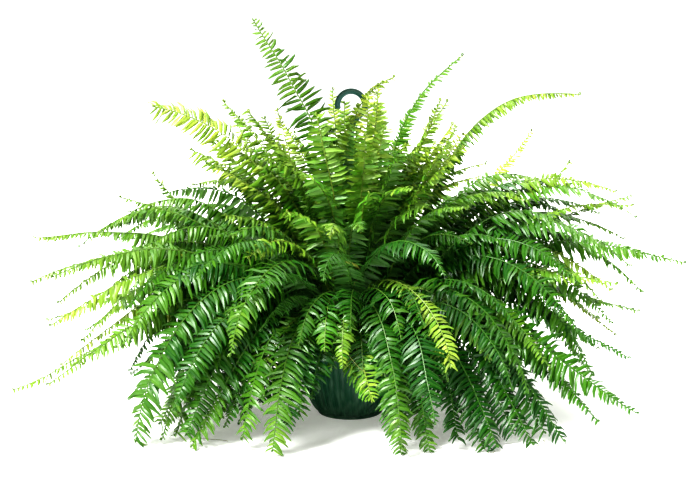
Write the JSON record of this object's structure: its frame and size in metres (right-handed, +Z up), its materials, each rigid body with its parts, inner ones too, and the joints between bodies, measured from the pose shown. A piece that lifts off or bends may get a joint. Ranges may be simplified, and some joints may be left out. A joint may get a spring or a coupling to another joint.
{
  "type": "potted fern",
  "caption": "Bushy sword fern with long feathery arching fronds, in a ribbed dark green plastic hanging pot with its hanger hook, standing on its own base.",
  "frame": {"origin": "middle of the pot's flat base, on the surface it stands on", "axes": "+Z up the pot and plant; +X and +Y level; the front seen first faces -Y"},
  "size_m": [1.1411, 0.772, 0.6723],
  "materials": {
    "leaf": "satin",
    "pot": "satin",
    "hanger": "satin",
    "soil": "matte",
    "crown": "matte"
  },
  "bodies": {
    "root": {"frond_01": "leaf", "frond_02": "leaf", "frond_03": "leaf", "frond_04": "leaf", "frond_05": "leaf", "frond_06": "leaf", "frond_07": "leaf", "frond_08": "leaf", "frond_09": "leaf", "frond_10": "leaf", "frond_11": "leaf", "frond_12": "leaf", "frond_13": "leaf", "frond_14": "leaf", "frond_15": "leaf", "frond_16": "leaf", "frond_17": "leaf", "frond_18": "leaf", "frond_19": "leaf", "frond_20": "leaf", "frond_21": "leaf", "frond_22": "leaf", "frond_23": "leaf", "frond_24": "leaf", "frond_25": "leaf", "frond_26": "leaf", "frond_27": "leaf", "frond_28": "leaf", "frond_29": "leaf", "frond_30": "leaf", "frond_31": "leaf", "frond_32": "leaf", "frond_33": "leaf", "frond_34": "leaf", "frond_35": "leaf", "frond_36": "leaf", "frond_37": "leaf", "frond_38": "leaf", "frond_39": "leaf", "frond_40": "leaf", "frond_41": "leaf", "frond_42": "leaf", "frond_43": "leaf", "frond_44": "leaf", "frond_45": "leaf", "frond_46": "leaf", "frond_47": "leaf", "frond_48": "leaf", "frond_49": "leaf", "frond_50": "leaf", "frond_51": "leaf", "frond_52": "leaf", "pot": "pot", "potting_mix": "soil", "crown": "crown", "hanger_hook": "hanger", "hanger_hub": "hanger", "hanger_strand_1": "hanger", "hanger_strand_2": "hanger", "hanger_strand_3": "hanger"}
  },
  "joints": []
}
